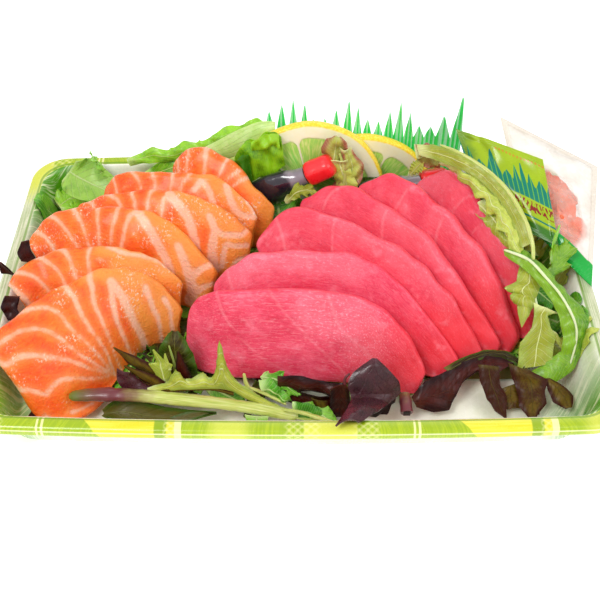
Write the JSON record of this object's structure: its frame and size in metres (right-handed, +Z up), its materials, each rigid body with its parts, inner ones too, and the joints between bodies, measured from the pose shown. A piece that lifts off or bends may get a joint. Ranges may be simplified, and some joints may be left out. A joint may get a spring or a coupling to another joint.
{
  "type": "sashimi plate",
  "caption": "Rectangular printed foam tray holding two fans of raw salmon and tuna slices on salad leaves, with lemon, fish-shaped sauce bottles, small packs and a green grass divider.",
  "frame": {"origin": "centre of the tray's flat underside", "axes": "+X along the tray's long side, +Y towards the back where the grass divider stands, +Z up"},
  "size_m": [0.2299, 0.1476, 0.061],
  "materials": {
    "tray_print": "thin foam tray with a glossy bamboo print",
    "salmon_flesh": "moist raw salmon with pale fat lines",
    "tuna_flesh": "moist raw tuna",
    "lemon": "waxy yellow rind around wet pale green flesh",
    "soy_bottle": "clear soft bottle full of dark sauce",
    "red_cap": "smooth red moulded cap",
    "grass_film": "thin translucent green film",
    "wasabi_pack": "printed glossy film pack",
    "ginger_pack": "clear film pack over pickled ginger",
    "green_leaf": "fresh green salad leaf",
    "pale_leaf": "pale yellow-green salad leaf",
    "purple_leaf": "dark red and purple salad leaf"
  },
  "bodies": {
    "root": {"endive_front": "pale_leaf", "endive_right": "pale_leaf", "endive_tips": "pale_leaf", "ginger_sachet": "ginger_pack", "grass_divider": "grass_film", "lemon_slice_1": "lemon", "lemon_slice_2": "lemon", "lettuce_back": "green_leaf", "lettuce_left": "green_leaf", "olive_leaf": "purple_leaf", "purple_leaf": "purple_leaf", "red_leaf": "purple_leaf", "rocket_leaf": "green_leaf", "salad_bed": "green_leaf", "salmon_slice_1": "salmon_flesh", "salmon_slice_2": "salmon_flesh", "salmon_slice_3": "salmon_flesh", "salmon_slice_4": "salmon_flesh", "salmon_slice_5": "salmon_flesh", "salmon_slice_6": "salmon_flesh", "soy_bottle_1": "soy_bottle", "soy_bottle_2": "soy_bottle", "soy_cap_1": "red_cap", "soy_cap_2": "red_cap", "tray": "tray_print", "tuna_slice_1": "tuna_flesh", "tuna_slice_2": "tuna_flesh", "tuna_slice_3": "tuna_flesh", "tuna_slice_4": "tuna_flesh", "tuna_slice_5": "tuna_flesh", "tuna_slice_6": "tuna_flesh", "wasabi_sachet": "wasabi_pack"}
  },
  "joints": []
}
